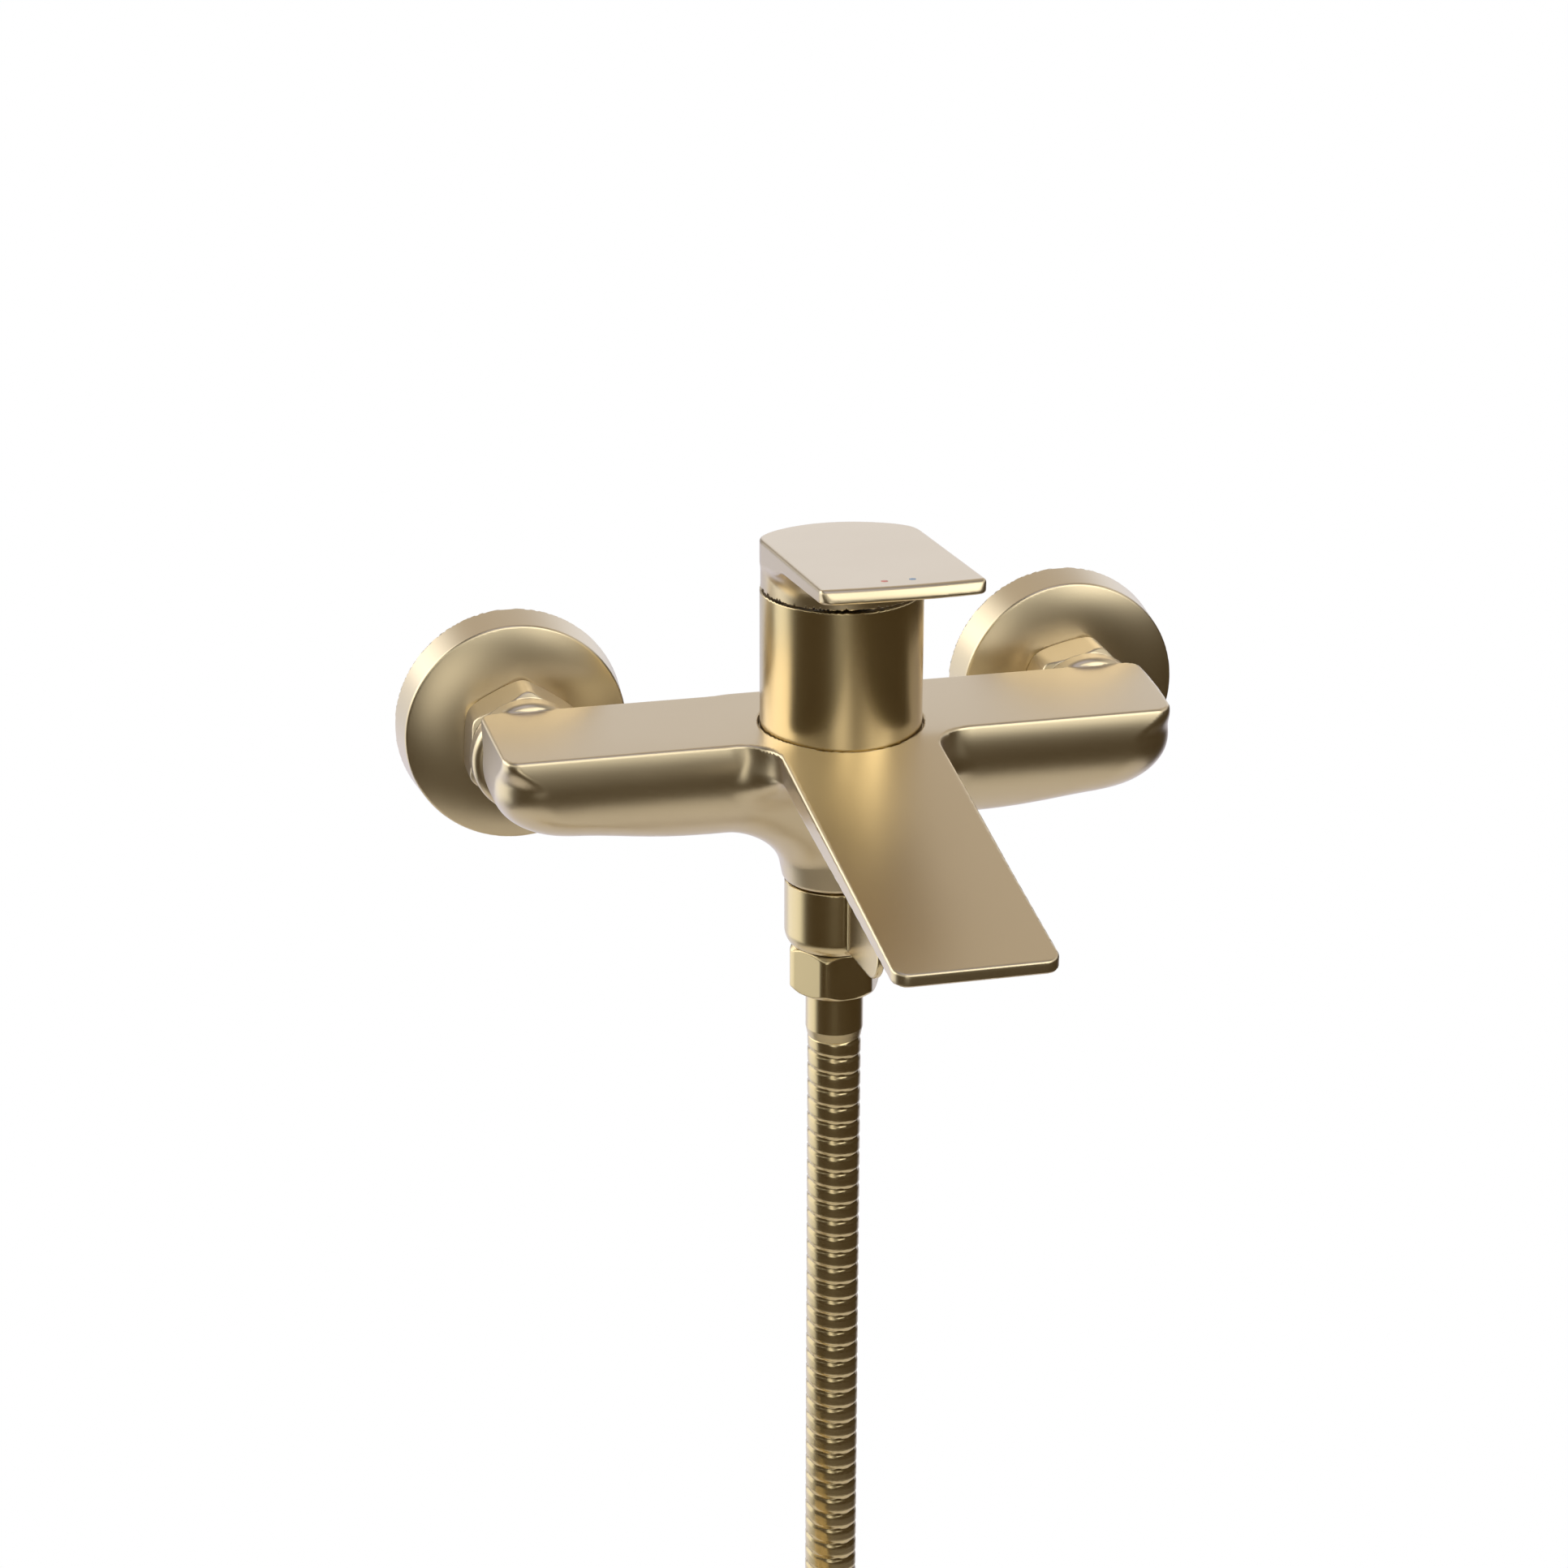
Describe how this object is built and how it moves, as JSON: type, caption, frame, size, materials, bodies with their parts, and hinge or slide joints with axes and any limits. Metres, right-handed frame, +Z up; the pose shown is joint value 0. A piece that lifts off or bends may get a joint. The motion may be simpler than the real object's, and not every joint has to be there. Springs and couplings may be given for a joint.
{
  "type": "wall mounted bath faucet",
  "caption": "Wall-mounted single-lever bath mixer in satin champagne gold, with flat spout, turning outlet diverter and coiled metal shower hose",
  "frame": {"origin": "on the finished wall plane, midway between the two wall connections, at the height of their axes", "axes": "+X along the wall to the right as seen from the room, +Y into the wall, +Z up"},
  "size_m": [0.2522, 0.1935, 0.4623],
  "materials": {
    "satin_gold": "bead-blasted brass with a champagne gold vapour coat, satin",
    "raw_brass": "machined, uncoated",
    "steel": "stainless, plain",
    "black_rubber": "moulded, matt",
    "fibre": "pressed fibre, matt",
    "grey_plastic": "glass-filled, matt",
    "white_plastic": "moulded acetal",
    "ceramic": "lapped alumina, polished"
  },
  "bodies": {
    "mixer": {"body": "satin_gold", "rosette_left": "satin_gold", "rosette_right": "satin_gold", "wall_union_left": "raw_brass", "wall_union_right": "raw_brass", "inlet_tail_left": "raw_brass", "inlet_tail_right": "raw_brass", "filter_washer_left": "fibre", "filter_washer_right": "fibre", "sleeve": "satin_gold", "retaining_nut": "raw_brass", "cartridge_housing": "grey_plastic", "cartridge_base": "white_plastic", "base_seals": "black_rubber", "fixed_disc": "ceramic", "outlet_spigot": "raw_brass", "spigot_seal": "black_rubber", "knob_clip": "steel", "spout_grille": "satin_gold", "grille_seal": "black_rubber", "hose_washer": "black_rubber", "hose_ferrule": "satin_gold", "hose": "satin_gold", "hose_coil": "satin_gold", "coil_tie": "black_rubber", "end_ferrule": "satin_gold", "end_washer": "black_rubber"},
    "union_nut_l": {"union_nut_left": "satin_gold"},
    "union_nut_r": {"union_nut_right": "satin_gold"},
    "guide": {"stem_guide": "grey_plastic", "stem_pin": "steel"},
    "disc": {"moving_disc": "ceramic", "disc_carrier": "grey_plastic"},
    "lever_arm": {"lever": "satin_gold", "stem": "raw_brass", "lever_screw": "steel", "screw_plug": "satin_gold"},
    "diverter": {"diverter_ring": "satin_gold", "diverter_spool": "white_plastic", "spool_rings": "black_rubber", "diverter_pin": "steel"},
    "hose_nut_b": {"hose_nut": "satin_gold"},
    "end_nut_b": {"end_nut": "satin_gold"}
  },
  "joints": [
    {"name": "lever_turn", "type": "hinge", "parent": "mixer", "child": "guide", "pos_m": [0, -0.0565, 0.0363], "axis": [0, 0, 1], "range_deg": [-50, 50]},
    {"name": "lever_lift", "type": "hinge", "parent": "guide", "child": "lever_arm", "pos_m": [0, -0.0565, 0.0363], "axis": [-1, 0, 0], "range_deg": [0, 24]},
    {"name": "disc_slide", "type": "slide", "parent": "guide", "child": "disc", "axis": [0, -1, 0], "range_m": [0, 0.0027]},
    {"name": "diverter_turn", "type": "hinge", "parent": "mixer", "child": "diverter", "pos_m": [0, -0.052, -0.0418], "axis": [0, 0, 1], "range_deg": [0, 90]},
    {"name": "union_nut_left_turn", "type": "hinge", "parent": "mixer", "child": "union_nut_l", "pos_m": [-0.075, -0.0203, 0], "axis": [0, -1, 0], "continuous": true},
    {"name": "union_nut_right_turn", "type": "hinge", "parent": "mixer", "child": "union_nut_r", "pos_m": [0.075, -0.0203, 0], "axis": [0, -1, 0], "continuous": true},
    {"name": "hose_nut_turn", "type": "hinge", "parent": "mixer", "child": "hose_nut_b", "pos_m": [0, -0.052, -0.0555], "axis": [0, 0, 1], "continuous": true},
    {"name": "end_nut_turn", "type": "hinge", "parent": "mixer", "child": "end_nut_b", "pos_m": [0, -0.094, -0.386], "axis": [0, 0, 1], "continuous": true}
  ],
  "couplings": [
    {"joint": "disc_slide", "follows": "lever_lift", "m_per_rad": 0.00631}
  ]
}
